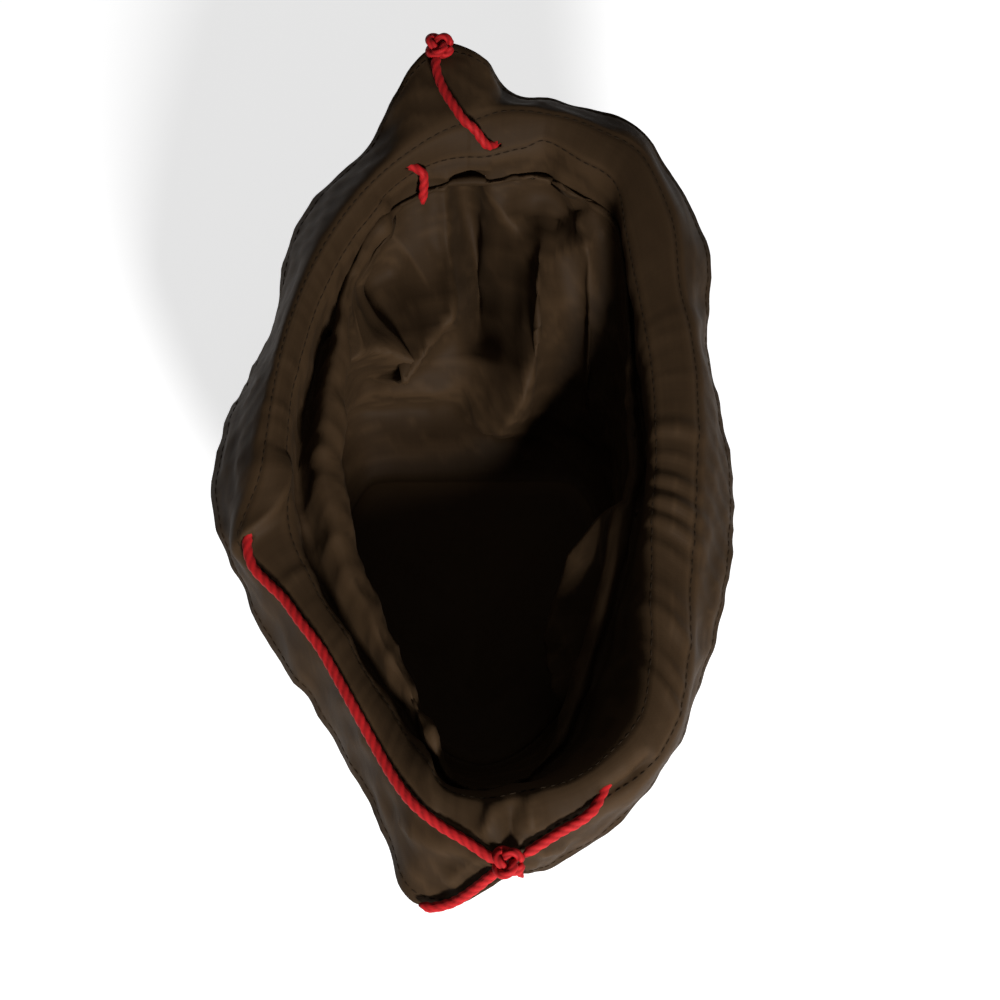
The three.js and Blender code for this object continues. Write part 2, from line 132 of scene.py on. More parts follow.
# Share of a fold's route over which it rises from each end
FOLD_TAPER = 0.3
# How steeply a fold's sides fall away
FOLD_SHARPNESS = 1.6

# How strongly the casing is gathered, as [bearing, share of the gathers' height]
PUCKER_RING = [
    (0, 0.2), (60, 0.1), (80, 0.3), (92, 1.2), (108, 1.6), (124, 1.6), (138, 0.4), (180, 0.4),
    (240, 0.25), (256, 0.8), (272, 0.8), (290, 0.3),
]

# The outer bag's reach as [bearing, share of its half width and half length]
BODY_RING = [(0, 1), (180, 1), (197, 0.96), (212, 0.91), (235, 0.91), (252, 0.97), (270, 1)]

# Rows of stitches as places across the cloth: the hem, under the crest and along the neck
STITCH_LINES = (0.1, 1.04, 1.95)


def run(across, side, *bearings):
    """A stretch of a cord's route that keeps its place across the cloth."""
    return [(bearing, across, side) for bearing in bearings]


# Cord routes as [bearing, across, side]. Across is 0 at the free edge, 1 at the crest and 2 at the neck.
# Side 1 lies on the cloth, -1 runs in the casing, and 0 passes through a buttonhole.
LEFT_CORD_ROUTE = [
    (172.6, 0.97, 1), *run(1, 1, 180, 186, 193, 200, 208, 216, 224, 232, 239, 245, 249),
    (253, 1.06, 0.9), (256.5, 1.2, 0), (260, 1.36, -0.9), *run(1.5, -1, 265, 273, 281, 290, 299, 308),
    (317, 1.48, -1), (326, 1.46, -1), (332, 1.48, -1), (336, 1.55, -0.9), (339, 1.68, 0),
    (340.8, 1.84, 0.9), (341.4, 2.0, 1), (341.5, 2.12, 1),
]
RIGHT_CORD_ROUTE = [
    (167, 0.98, 1), (162, 1, 1), (157, 1, 1), (152.5, 1.02, 1), (149, 1.1, 0.85), (145.5, 1.24, 0),
    (141.5, 1.4, -0.9), *run(1.5, -1, 137, 130, 122, 114, 106, 97, 88, 79, 70, 61, 52, 43, 35, 28),
    (21, 1.55, -1), (15, 1.62, -1), (11, 1.68, -0.9), (7.5, 1.7, 0), (4.8, 1.6, 0.9), (2.6, 1.42, 1),
    (0.4, 1.2, 1), (357.6, 1.0, 1), (355, 0.8, 1), (352.4, 0.6, 1), (350.7, 0.4, 1), (350.3, 0.25, 1),
    (351, 0.15, 1),
]
PULL_TAIL_ROUTE = [
    (172.3, 0.76, 1), (174, 0.52, 1), (176.5, 0.28, 1), (179, 0.17, 1), (182, 0.11, 1), (185, 0.08, 1),
    (188, 0.06, 1), (191, 0.05, 1),
]
SHORT_TAIL_ROUTE = [(169.4, 0.69, 1), (168.6, 0.5, 1), (168, 0.3, 1), (167.5, 0.12, 1)]
NEAR_KNOT_SEAT = (170.5, 0.95)
FAR_KNOT_SEAT = (351.5, 0.06)

# What brings the rings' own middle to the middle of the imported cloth
FRAME_SHIFT = np.array((0.18, 1.085, 0)) * MM

# The slack bead's section in shares of its radius: how far below its middle the groove behind it and its
# underside lie, and how far outwards of it. The groove goes no further out than so many millimetres.
GROOVE_DROP = 1.2
GROOVE_OUT = 1.9
GROOVE_MOST = 7
UNDER_DROP = 1.6
UNDER_OUT = 0.2
# Height of the hollow below the bead, as a share of the bead's
HOLLOW_LEVEL = 0.45

# The outer wall's shoulder as a share of the way from its fullest ring to the neck
SHOULDER = 0.55
# The last ring of each base as a share of the base's reach
LINING_INNER = 0.6
SHELL_INNER = 0.8

# The lining's slack in its short cloth simulation: growth of the cloth, how firmly its folds hold their
# place, the rows over which that starts, how far in metres a point may move, the frames run, the passes
# that smooth the movement, and the cloth's settings
SLACK = 0.006
SLACK_HOLD = 0.6
SLACK_EASE = 6
SLACK_REACH = 0.007
SLACK_FRAMES = 16
SLACK_SMOOTHING = 3
SLACK_CLOTH = {
    "vertex_group_mass": "hold",
    "pin_stiffness": 1.0,
    "quality": 6,
    "mass": 0.15,
    "tension_stiffness": 30,
    "compression_stiffness": 30,
    "shear_stiffness": 8,
    "bending_stiffness": 0.3,
    "shrink_min": -SLACK,
}

# Waves as [turns round the mouth, share of the depth, start in radians]: the slow waves along the free
# edge of the ruffle, and the long upright folds of the slumped outer wall
FLUTE_WAVES = ((11, 1, 0), (17, 0.6, 1))
DRAPE_WAVES = ((7, 1, 0.5), (12, 0.7, 0), (19, 0.4, 2))

# Soft creases all over the cloth: how many directions they run in, the seed that chooses them, and the
# share of their height that the casing loses, so that it clears the cord
CREASES = 16
CREASE_SEED = 7
CASING_CALM = 0.85

# Where the casing's middle lies across the cloth, how far to each side of it the casing and its gathers
# reach, and how steeply the casing opens
CASING_MIDDLE = 1.5
CASING_HALF = 0.5
GATHER_SPREAD = 0.9
CASING_RAMP = 3

# Millimetres that the cord lies below the middle of the casing, and the share of the gathers' height
# that lifts it where it lies on top
CASING_SINK = 0.3
GATHER_SHARE = 0.35

# A cord's section: its core, the height of its plies and what is left at its ends, as shares of its
# radius, and how round the plies are
ROPE_CORE = 0.72
ROPE_PLY = 0.3
ROPE_END = 0.35
PLY_ROUND = 0.7

# A knot: points along its cord, how far its turns draw in and rise as shares of its size, its size and
# its lift off the cloth in millimetres, and its thickness as a share of the cord's
KNOT_POINTS = 120
KNOT_WAIST = 0.42
KNOT_RISE = 0.55
KNOT_SIZE = 3.0
KNOT_LIFT = 0.6
KNOT_CORD = 0.86

# Millimetres from one thread of the weave to the next but one, and how sharply, in millimetres from row
# to row, a fold bends where the painted highlight along its ridge is full
WEAVE_PITCH = 0.55
HIGHLIGHT_CURVE = 0.25

# How finely the cloth is meshed, the rows at the crest, the neck and the foot, and the rows that the seam
# round the base spreads over
COLUMNS = 460
LINING_STEPS = (12, 14, 6, 4, 4, 4, 28, 22, 4)
SHELL_STEPS = (12, 12, 16, 5)
CREST_ROW = LINING_STEPS[0]
NECK_ROW = sum(LINING_STEPS[:2])
FOOT_ROW = sum(LINING_STEPS[:-1])
SEAM_ROWS = 1.3
# Points along a fold's route, and steps between two points of a smooth line
FOLD_POINTS = 40
LINE_STEPS = 16

# Lamps as name, place and size in metres, and power in watts, and the point that they face
LAMPS = (("key_lamp", (0.31, -1.1, 0.59), 0.22, 18), ("top_lamp", (0.1, 0.35, 1.3), 0.8, 0.6))
LAMP_TARGET = (0, 0, 0.05)
# Strength of the white surroundings as a light; the camera sees them as plain white
FILL = 0.06
# The floor's half side in metres, and how brightly it glows to the camera and in reflections
FLOOR_REACH = 3.0
FLOOR_GLOW = 0.7
# The camera: degrees above the level, metres to its target and across the picture there, the target, and
# the sensor's width in millimetres
CAMERA_ELEVATION = 65
CAMERA_DISTANCE = 0.72
CAMERA_WIDTH = 0.345
CAMERA_TARGET = (0.0105, -0.007, 0.06)
SENSOR = 36


def length(name, description, default):
    return bpy.props.FloatProperty(
        name=name, description=description, default=default, unit="LENGTH", precision=4)


def colour(name, description, default):
    return bpy.props.FloatVectorProperty(
        name=name, description=description, default=default, subtype="COLOR", size=3, min=0, max=1)


class PouchSizes(bpy.types.PropertyGroup):
    """Sizes of the cloth and the cord."""

    mouth_width: length("Mouth width", "Width of the drawn mouth at the neck", 0.118)
    mouth_length: length("Mouth length", "Length of the drawn mouth at the neck", 0.230)
    rim_height: length("Rim height", "Height that the rings' height shares are of", 0.100)
    body_width: length("Body width", "Width of the outer bag at its fullest", 0.146)
    body_length: length("Body length", "Length of the outer bag at its fullest", 0.240)
    body_full_height: length("Full height", "Height at which the outer bag is fullest", 0.040)
    foot_width: length("Foot width", "Width of the outer base", 0.116)
    foot_length: length("Foot length", "Length of the outer base", 0.190)
    base_width: length("Lining base width", "Width of the lining's base", 0.090)
    base_length: length("Lining base length", "Length of the lining's base", 0.110)
    base_setback: length("Lining base setback", "How far the lining's base lies to the near side", 0.030)
    cloth: length("Cloth thickness", "Thickness of each layer", 0.0008)
    layer_gap: length("Layer gap", "Room between the two layers", 0.0004)
    cord: length("Cord diameter", "Diameter of the cord", 0.0034)
    clearance: length("Cord clearance", "Room around the cord in the casing", 0.0006)
    crease_depth: length("Crease depth", "Height of one soft crease", 0.00024)
    crease_least: length("Least crease", "Width of the narrowest soft crease", 0.007)
    crease_most: length("Most crease", "Width of the widest soft crease", 0.026)
    seam_height: length("Seam height", "How high the seam round the lining's base stands", 0.0022)
    pinch_depth: length("Pinch depth", "How deep the stitches pull the cloth in", 0.0005)
    pinch_share: bpy.props.FloatProperty(
        name="Pinch width",
        description="Share of a span across the cloth that the stitches pull in",
        default=0.07)
    stitch_pitch: length("Stitch pitch", "Distance from one stitch to the next", 0.0032)
    stitch_length: length("Stitch length", "Length of one stitch", 0.0023)
    thread: length("Thread thickness", "Thickness of the sewing thread", 0.0005)
    slit_length: length("Slit length", "Length of a buttonhole", 0.006)
    slit_width: length("Slit width", "How far a buttonhole stands open", 0.0026)
    gather_depth: length("Gather depth", "Height of the gathers along the casing", 0.002)
    flute_depth: length("Flute depth", "Height of the waves along the free edge", 0.0016)
    drape_depth: length("Drape depth", "Depth of the upright folds of the outer bag", 0.0032)


class PouchColours(bpy.types.PropertyGroup):
    """Colours of the cloth, the thread and the cord."""

    shell: colour("Outer cloth", "Colour of the outer bag", (0.037, 0.0226, 0.0126))
    lining: colour("Lining cloth", "Colour of the lining", (0.040, 0.0230, 0.0112))
    thread: colour("Thread", "Colour of the sewing thread", (0.024, 0.016, 0.010))
    cord: colour("Cord", "Colour of the cord", (0.46, 0.010, 0.012))
    floor: colour("Floor", "Colour of the floor", (0.9, 0.9, 0.9))


def sizes():
    return bpy.context.scene.pouch_sizes


def colours():
    return bpy.context.scene.pouch_colours


# Rings and sections of the cloth


def around(table, bearings):
    """Smooth closed curve through rows of [bearing, values...], with no overshoot between the rows."""
    rows = np.array(table, float)
    x = np.concatenate([rows[-2:, 0] - 360, rows[:, 0], rows[:2, 0] + 360])
    y = np.concatenate([rows[-2:, 1:], rows[:, 1:], rows[:2, 1:]])
    rise = np.diff(y, axis=0) / np.diff(x)[:, None]
    before, after = rise[:-1], rise[1:]
    same = before * after > 0
    slope = np.where(same, 2 * before * after / np.where(same, before + after, 1), 0)
    x, y = x[1:-1], y[1:-1]
    at = np.asarray(bearings, float) % 360
    i = np.clip(np.searchsorted(x, at, side="right") - 1, 0, len(x) - 2)
    span = (x[i + 1] - x[i])[:, None]
    t = (at - x[i])[:, None] / span
    ease = t * t * (3 - 2 * t)
    turn = slope[i] * span * t * (1 - t) ** 2 - slope[i + 1] * span * t * t * (1 - t)
    return y[i] + (y[i + 1] - y[i]) * ease + turn


def on_ellipse(bearings, width, long, reach, z, setback=0.0):
    a = np.radians(bearings)
    x = width / 2 * reach * np.sin(a)
    y = long / 2 * reach * np.cos(a) - setback
    return np.stack([x, y, np.broadcast_to(z, x.shape)], axis=1)


def on_mouth(bearings, ring):
    s = sizes()
    share = around(ring, bearings)
    return on_ellipse(bearings, s.mouth_width, s.mouth_length, share[:, 0], share[:, 1] * s.rim_height)


def outwards(bearings):
    """Unit vectors from the axis of the pouch towards each bearing."""
    s = sizes()
    away = on_ellipse(bearings, s.mouth_width, s.mouth_length, np.ones(len(bearings)), 0.0)
    return away / np.linalg.norm(away, axis=1, keepdims=True)


def even_bearings(count):
    """Bearings whose points lie evenly spaced along the crest."""
    fine = np.linspace(0, 360, 3601)
    ring = on_mouth(fine, CREST_RING)
    along = lengths_along(ring)
    return np.interp(np.arange(count) / count * along[-1], along, fine)


def waves(bearings, depth, table):
    """A sum of waves round the mouth."""
    a = np.radians(bearings)
    return depth * sum(share * np.sin(turns * a + start) for turns, share, start in table)


def lining_rings(bearings):
    """The rings that the lining's sections pass through, from the free edge to the inner base."""
    s = sizes()
    edge = on_mouth(bearings, EDGE_RING)
    edge[:, 2] += waves(bearings, s.flute_depth, FLUTE_WAVES)
    crest = on_mouth(bearings, CREST_RING)
    neck = on_mouth(bearings, NECK_RING)
    base_reach = around(BASE_RING, bearings)[:, 0]
    base_z = lining_floor()
    foot = on_ellipse(bearings, s.base_width, s.base_length, base_reach, base_z, s.base_setback)
    inner_reach = base_reach * LINING_INNER
    inner = on_ellipse(bearings, s.base_width, s.base_length, inner_reach, base_z, s.base_setback)
    units = np.array([[MM], [s.rim_height], [MM], [MM]])
    inset, bead_z, radius, slack = around(BEAD_RING, bearings).T * units
    out = outwards(bearings)

    def on_wall(z, inwards):
        level = ((z - foot[:, 2]) / (neck[:, 2] - foot[:, 2]))[:, None]
        return foot + (neck - foot) * level - out * inwards[:, None]

    groove_in = np.maximum(inset - GROOVE_OUT * radius, -GROOVE_MOST * MM)
    groove = on_wall(bead_z - GROOVE_DROP * radius, groove_in)
    top = on_wall(bead_z + radius, inset)
    side = on_wall(bead_z, inset + radius)
    under = on_wall(bead_z - UNDER_DROP * radius, inset - UNDER_OUT * radius)
    hollow = on_wall(bead_z * HOLLOW_LEVEL, slack)
    return [edge, crest, neck, groove, top, side, under, hollow, foot, inner]


def lining_floor():
    """Height of the middle of the lining's cloth where it lies on the outer base."""
    s = sizes()
    return s.cloth + s.layer_gap + s.cloth / 2


def spline_rows(rings, steps):
    """Rows of points along centripetal splines through the rings, with the given steps in each span."""
    points = [2 * rings[0] - rings[1], *rings, 2 * rings[-1] - rings[-2]]
    rows = [rings[0]]
    for span, count in enumerate(steps):
        p0, p1, p2, p3 = points[span:span + 4]
        d0, d1, d2 = (np.maximum(np.linalg.norm(b - a, axis=1, keepdims=True) ** 0.5, 1e-6)
                      for a, b in ((p0, p1), (p1, p2), (p2, p3)))
        m1 = ((p1 - p0) / d0 - (p2 - p0) / (d0 + d1) + (p2 - p1) / d1) * d1
        m2 = ((p2 - p1) / d1 - (p3 - p1) / (d1 + d2) + (p3 - p2) / d2) * d1
        for t in np.arange(1, count + 1) / count:
            rows.append(p1 * (2 * t**3 - 3 * t**2 + 1) + m1 * (t**3 - 2 * t**2 + t)
                        + p2 * (3 * t**2 - 2 * t**3) + m2 * (t**3 - t**2))
    return np.array(rows)


def normals_of(rows):
    """Unit normals of a grid of closed rows, pointing to the inside of the pouch."""
    along = np.roll(rows, -1, axis=1) - np.roll(rows, 1, axis=1)
    down = np.gradient(rows, axis=0)
    n = np.cross(down, along)
    return n / np.maximum(np.linalg.norm(n, axis=2, keepdims=True), 1e-12)


def across_of(steps):
    """Where each row lies across the cloth: 0 at the free edge, 1 at the crest, 2 at the neck and so on."""
    spans = [span + np.arange(1, count + 1) / count for span, count in enumerate(steps)]
    return np.concatenate([[0]] + spans)


def lengths_along(points):
    """How far along a line each of its points lies."""
    return np.concatenate([[0], np.cumsum(np.linalg.norm(np.diff(points, axis=0), axis=1))])


def off_floor(rows):
    """What is left of the folds and creases as the cloth comes down to its base."""
    return np.clip((rows[..., 2] - lining_floor()) / (FOLD_FADE * MM), 0, 1)


class Lining:
    """The lining's middle surface as rows around the mouth, with what places things on it."""

    def __init__(self):
        self.bearings = even_bearings(COLUMNS)
        self.across = across_of(LINING_STEPS)
        self.smooth = crumpled(self.folded(spline_rows(lining_rings(self.bearings), LINING_STEPS)))
        self.smooth = settled(self.smooth)
        self.normals = normals_of(self.smooth)
        relief = self.puckers() - self.pinch() + self.seam()
        self.rows = self.smooth + self.normals * relief[..., None]

    def folded(self, rows):
        """The cloth with its folds laid on it."""
        self.smooth, self.normals = rows, normals_of(rows)
        lift = np.zeros(rows.shape[:2])
        for route, height, left, right in FOLDS:
            line = smooth_line([self.point(b, a, 0) for b, a in route], FOLD_POINTS)
            facing = smooth_line([self.normal(b, a) for b, a in route], FOLD_POINTS)
            lift += height * MM * fold_share(rows, self.normals, line, facing, left * MM, right * MM)
        lift *= off_floor(rows)
        rows = rows + self.normals * lift[..., None]
        rows[..., 2] = np.maximum(rows[..., 2], lining_floor())
        return rows

    def puckers(self):
        """How high the gathers stand off the smooth cloth."""
        a = np.radians(self.bearings)
        spread = np.clip(1 - np.abs(self.across - CASING_MIDDLE) / GATHER_SPREAD, 0, 1)
        wave = 0.5 + 0.5 * np.cos(25 * a + 0.9 * np.sin(3 * a) + 0.6 * np.sin(8 * a + 1))
        fine = np.sin(96 * a + 2.2 * np.sin(5 * a) + 1.4 * np.sin(13 * a + 2))
        uneven = 0.55 + 0.45 * np.sin(23 * a + 3 * np.sin(9 * a))
        strength = around(PUCKER_RING, self.bearings)[:, 0] * uneven
        height = sizes().gather_depth * np.maximum(wave * 0.6 + fine * 0.3, 0) * strength
        return spread[:, None] * height[None, :]

    def pinch(self):
        """How deep the rows of stitches pull the cloth in."""
        s = sizes()
        lines = [np.exp(-((self.across - line) / s.pinch_share) ** 2) for line in STITCH_LINES]
        return (s.pinch_depth * sum(lines))[:, None]

    def seam(self):
        """How high the seam round the base stands up."""
        off = np.arange(len(self.across)) - FOOT_ROW
        return (sizes().seam_height * np.exp(-((off / SEAM_ROWS) ** 2)))[:, None]

    def line(self, across, lift):
        """A closed row of points along the cloth at one place across it, off its surface."""
        row = np.interp(across, self.across, np.arange(len(self.across)))
        r = int(row)
        t = row - r
        points = self.rows[r] * (1 - t) + self.rows[r + 1] * t
        return points + self.normals[r] * lift

    def row_at(self, bearing, across):
        """The row at a place across the cloth; below the neck it is found by height."""
        if across <= 2:
            return np.interp(across, self.across, np.arange(len(self.across)))
        heights = self.smooth[NECK_ROW:FOOT_ROW + 1, int(self.column_at(bearing)) % COLUMNS, 2]
        rising = np.maximum.accumulate(heights[::-1])
        return FOOT_ROW - np.interp((3 - across) * heights[0], rising, np.arange(len(rising)))

    def column_at(self, bearing):
        return np.interp(bearing % 360, np.append(self.bearings, 360), np.arange(COLUMNS + 1))

    def at(self, grid, bearing, across):
        """The value of a grid at a place between its rows and columns."""
        column, row = self.column_at(bearing), self.row_at(bearing, across)
        c, r = int(column), min(int(row), len(self.across) - 2)
        u, v = column - c, row - r
        d = (c + 1) % COLUMNS
        c %= COLUMNS
        return ((grid[r, c] * (1 - u) + grid[r, d] * u) * (1 - v)
                + (grid[r + 1, c] * (1 - u) + grid[r + 1, d] * u) * v)

    def normal(self, bearing, across):
        found = self.at(self.normals, bearing, across)
        return found / np.linalg.norm(found)

    def point(self, bearing, across, lift):
        """A point off the smooth cloth."""
        return self.at(self.smooth, bearing, across) + self.normal(bearing, across) * lift


def crumpled(rows):
    """The cloth with soft creases of many directions, fading out at its base and over the cord."""
    s = sizes()
    chance = np.random.default_rng(CREASE_SEED)
    height = np.zeros(rows.shape[:2])
    for wave in np.linspace(s.crease_least, s.crease_most, CREASES):
        way = chance.normal(size=3)
        way *= np.pi / wave / np.linalg.norm(way)
        patch = chance.normal(size=3)
        patch *= np.pi / (3 * s.crease_most) / np.linalg.norm(patch)
        ridge = 1 - 2 * np.abs(np.sin(rows @ way + chance.uniform(0, np.pi)))
        height += ridge * np.sin(rows @ patch + chance.uniform(0, np.pi)) ** 2
    height *= s.crease_depth * off_floor(rows)
    casing = np.clip(2 - 2 * np.abs(across_of(LINING_STEPS) - CASING_MIDDLE), 0, 1)
    height *= (1 - CASING_CALM * casing)[:, None]
    return rows + normals_of(rows) * height[..., None]


def settled(rows):
    """The wall between the neck and the base after a short cloth simulation with a little slack in it."""
    coarse = rows[::2, ::2]
    count, columns = coarse.shape[:2]
    piece = new_piece("slack_lining", coarse.reshape(-1, 3), grid_faces(count, columns), None)
    hold = piece.vertex_groups.new(name="hold")
    for r in range(count):
        ease = min(1.0, max(0.0, min(2 * r - NECK_ROW, FOOT_ROW - 2 * r) / SLACK_EASE))
        hold.add(list(range(r * columns, (r + 1) * columns)), 1 - ease * (1 - SLACK_HOLD), "REPLACE")
    cloth = piece.modifiers.new("slack", "CLOTH")
    for name, value in SLACK_CLOTH.items():
        setattr(cloth.settings, name, value)
    cloth.point_cache.frame_end = SLACK_FRAMES
    scene = bpy.context.scene
    for at in range(1, SLACK_FRAMES + 1):
        scene.frame_set(at)
    graph = bpy.context.evaluated_depsgraph_get()
    moved = np.zeros(count * columns * 3)
    piece.evaluated_get(graph).data.vertices.foreach_get("co", moved)
    scene.frame_set(1)
    mesh = piece.data
    bpy.data.objects.remove(piece)
    bpy.data.meshes.remove(mesh)
    shift = moved.reshape(count, columns, 3) - coarse
    for _ in range(SLACK_SMOOTHING):
        shift = (2 * shift + np.roll(shift, 1, axis=1) + np.roll(shift, -1, axis=1)) / 4
        shift[1:-1] = (2 * shift[1:-1] + shift[:-2] + shift[2:]) / 4
    far = np.linalg.norm(shift, axis=2, keepdims=True)
    shift *= np.minimum(1, SLACK_REACH / np.maximum(far, 1e-9))
    between = (shift + np.roll(shift, -1, axis=1)) / 2
    wide = np.stack([shift, between], axis=2).reshape(count, columns * 2, 3)
    fine = np.zeros_like(rows)
    fine[::2] = wide
    fine[1::2] = (wide[:-1] + wide[1:]) / 2
    return rows + fine


def fold_share(rows, normals, line, facing, left, right):
    """How much of a fold's height each point takes, by its distance from the fold's line on either side."""
    best = np.full(rows.shape[:2], np.inf)
    width = np.full(rows.shape[:2], left)
    place = np.zeros(rows.shape[:2])
    for i, (a, b, face) in enumerate(zip(line[:-1], line[1:], facing)):
        d = b - a
        t = np.clip(((rows - a) @ d) / max(d @ d, 1e-12), 0, 1)
        off = rows - a - t[..., None] * d
        far = np.linalg.norm(off, axis=2)
        nearer = (far < best) & (normals @ face > 0)
        best = np.where(nearer, far, best)
        place = np.where(nearer, (i + t) / (len(line) - 1), place)
        width = np.where(nearer, np.where(off @ np.cross(face, d) > 0, left, right), width)
    ends = np.clip(np.minimum(place, 1 - place) / FOLD_TAPER, 0, 1)
    return np.exp(-((best / width) ** FOLD_SHARPNESS)) * ends ** 0.5


def smooth_line(points, count):
    """Evenly spaced points along one smooth open curve through the given points."""
    rings = [np.asarray(p, float)[None, :] for p in points]
    fine = spline_rows(rings, [LINE_STEPS] * (len(rings) - 1))[:, 0]
    along = lengths_along(fine)
    at = np.linspace(0, along[-1], count)
    return np.stack([np.interp(at, along, fine[:, k]) for k in range(3)], axis=1)


# Meshes and finishes


def arithmetic(operation, swapped=False):
    """A method of Value that adds a Math node; swapped serves the reflected operators."""
    def act(self, other):
        return self.math(operation, *((other, self) if swapped else (self, other)))
    return act


class Value:
    """A shader socket that takes part in Python arithmetic: each operator adds a Math node."""

    def __init__(self, finish, socket):
        self.finish = finish
        self.socket = socket

    def math(self, operation, *values):
        return self.finish.node("ShaderNodeMath", {"operation": operation}, dict(enumerate(values)))

    __add__ = __radd__ = arithmetic("ADD")
    __sub__ = arithmetic("SUBTRACT")
    __rsub__ = arithmetic("SUBTRACT", swapped=True)
    __mul__ = __rmul__ = arithmetic("MULTIPLY")
    __truediv__ = arithmetic("DIVIDE")
    __rtruediv__ = arithmetic("DIVIDE", swapped=True)
    least = arithmetic("MINIMUM")
    most = arithmetic("MAXIMUM")

    def sine(self):
        return self.math("SINE", self)

    def absolute(self):
        return self.math("ABSOLUTE", self)


class Finish:
    """A node material built up by calls, around one Principled shader."""

    def __init__(self, name):
        self.material = bpy.data.materials.new(name)
        self.material.use_nodes = True
        self.tree = self.material.node_tree
        self.shader = self.tree.nodes["Principled BSDF"]

    def node(self, kind, settings=(), inputs=(), output=0):
        """Adds a node, sets it up, then its sockets' values or links, and gives one of its outputs."""
        made = self.tree.nodes.new(kind)
        for name, value in dict(settings).items():
            setattr(made, name, value)
        for key, value in dict(inputs).items():
            self.put(made.inputs[key], value)
        return Value(self, made.outputs[output])

    def put(self, socket, value):
        if isinstance(value, Value):
            self.tree.links.new(value.socket, socket)
        elif socket.type == "RGBA" and len(value) == 3:
            socket.default_value = (*value, 1)
        else:
            socket.default_value = value

    def set(self, **values):
        """Sets or links sockets of the shader, named with underscores for spaces."""
        for name, value in values.items():
            self.put(self.shader.inputs[name.replace("_", " ")], value)

    def mixed(self, factor, a, b):
        """A colour between a and b."""
        return self.node("ShaderNodeMix", {"data_type": "RGBA"}, {0: factor, 6: a, 7: b}, 2)

    def noise(self, vector, scale, detail=2.0):
        return self.node("ShaderNodeTexNoise", (), {"Vector": vector, "Scale": scale, "Detail": detail})

    def bump(self, height, distance, strength=1.0):
        wanted = {"Height": height, "Distance": distance, "Strength": strength}
        return self.node("ShaderNodeBump", (), wanted)


def shaded(colour_value, factor):
    return tuple(channel * factor for channel in colour_value)


def cloth_finish(name, tone, roughness):
    """Plain-woven cotton: crossing threads, slubs, and a slight painted highlight that lightens the sharp
    ridges of its folds.
    """
    f = Finish(name)
    uv = f.node("ShaderNodeUVMap", {"uv_map": "cloth"})
    split = f.node("ShaderNodeSeparateXYZ", (), {0: uv})
    u = split
    v = Value(f, split.socket.node.outputs[1])
    thread = 2 * math.pi / (WEAVE_PITCH * MM)
    warp = (u * thread).sine()
    weft = (v * thread).sine()
    weave = (warp * weft + warp.absolute() * 0.5 + weft.absolute() * 0.5) * 0.5
    slub_u = f.noise(f.node("ShaderNodeMapping", (), {0: uv, "Scale": (40, 900, 1)}), 1.0)
    slub_v = f.noise(f.node("ShaderNodeMapping", (), {0: uv, "Scale": (900, 40, 1)}), 1.0)
    slub = (slub_u + slub_v) * 0.5
    place = f.node("ShaderNodeTexCoord", output=3)
    broad = f.noise(place, 14.0, 3.0)
    fade = ((broad - 0.35) / 0.35).most(0.0).least(1.0)
    # Painted highlight: the cloth is lighter along the sharp ridges of its folds, where they catch the light
    ridge_highlight = f.node("ShaderNodeAttribute", {"attribute_name": "ridge_highlight"}, output=2)
    light = slub * 0.5 + weave * 0.12 + ridge_highlight * 0.55
    slubs_weave_and_highlight = f.mixed(light.least(1.0), shaded(tone, 0.72), shaded(tone, 1.5))
    f.set(Base_Color=f.mixed(fade * 0.3, slubs_weave_and_highlight, shaded(tone, 1.12)))
    f.set(Roughness=roughness + (slub - 0.5) * 0.2)
    f.set(Normal=f.bump(weave * 0.6 + slub * 0.8, 0.06 * MM, 0.6))
    f.set(Specular_IOR_Level=0.06, Sheen_Weight=0.02, Sheen_Roughness=0.5, Sheen_Tint=(0.8, 0.55, 0.35))
    return f.material


def cord_finish(name, tone):
    """Twisted cotton cord: plies with painted shade in the grooves between them, and stray fibres."""
    f = Finish(name)
    uv = f.node("ShaderNodeUVMap", {"uv_map": "cord"})
    ply = f.node("ShaderNodeAttribute", {"attribute_name": "ply"}, output=2)
    fibre = f.noise(f.node("ShaderNodeMapping", (), {0: uv, "Scale": (300, 900, 1)}), 1.0, 3.0)
    patch = f.noise(f.node("ShaderNodeTexCoord", output=3), 60.0)
    # Painted shade: the cord is darker in the grooves between its plies and lighter on their crowns; fibres
    # and patches add real tone
    shade = (ply * 0.75 + fibre * 0.45 + patch * 0.25 - 0.15).most(0.0).least(1.0)
    f.set(Base_Color=f.mixed(shade, shaded(tone, 0.38), shaded(tone, 1.15)))
    f.set(Roughness=0.85 - ply * 0.2)
    f.set(Normal=f.bump(fibre, 0.15 * MM, 0.7))
    f.set(Specular_IOR_Level=0.2, Sheen_Weight=0.04, Sheen_Roughness=0.5, Sheen_Tint=(1.0, 0.4, 0.4))
    return f.material


def thread_finish(name, tone):
    """Sewing thread: matt, with lighter and darker fibres."""
    f = Finish(name)
    fibre = f.noise(f.node("ShaderNodeTexCoord", output=3), 2500.0)
    f.set(Base_Color=f.mixed(fibre, shaded(tone, 0.7), shaded(tone, 1.6)))
    f.set(Roughness=0.9, Specular_IOR_Level=0.0)
    return f.material


def new_piece(name, points, faces, material, edges=()):
    mesh = bpy.data.meshes.new(name)
    mesh.from_pydata([tuple(p) for p in points], list(edges), [tuple(f) for f in faces])
    if material:
        mesh.materials.append(material)
    mesh.polygons.foreach_set("use_smooth", [True] * len(mesh.polygons))
    piece = bpy.data.objects.new(name, mesh)
    bpy.context.scene.collection.objects.link(piece)
    return piece


def set_uv(mesh, name, uv):
    """Gives each corner the UV of its vertex."""
    layer = mesh.uv_layers.new(name=name)
    vertex = np.zeros(len(mesh.loops), int)
    mesh.loops.foreach_get("vertex_index", vertex)
    layer.data.foreach_set("uv", np.asarray(uv, float)[vertex].ravel())


def set_attribute(mesh, name, values):
    mesh.attributes.new(name, "FLOAT", "POINT").data.foreach_set("value", np.asarray(values, float).ravel())


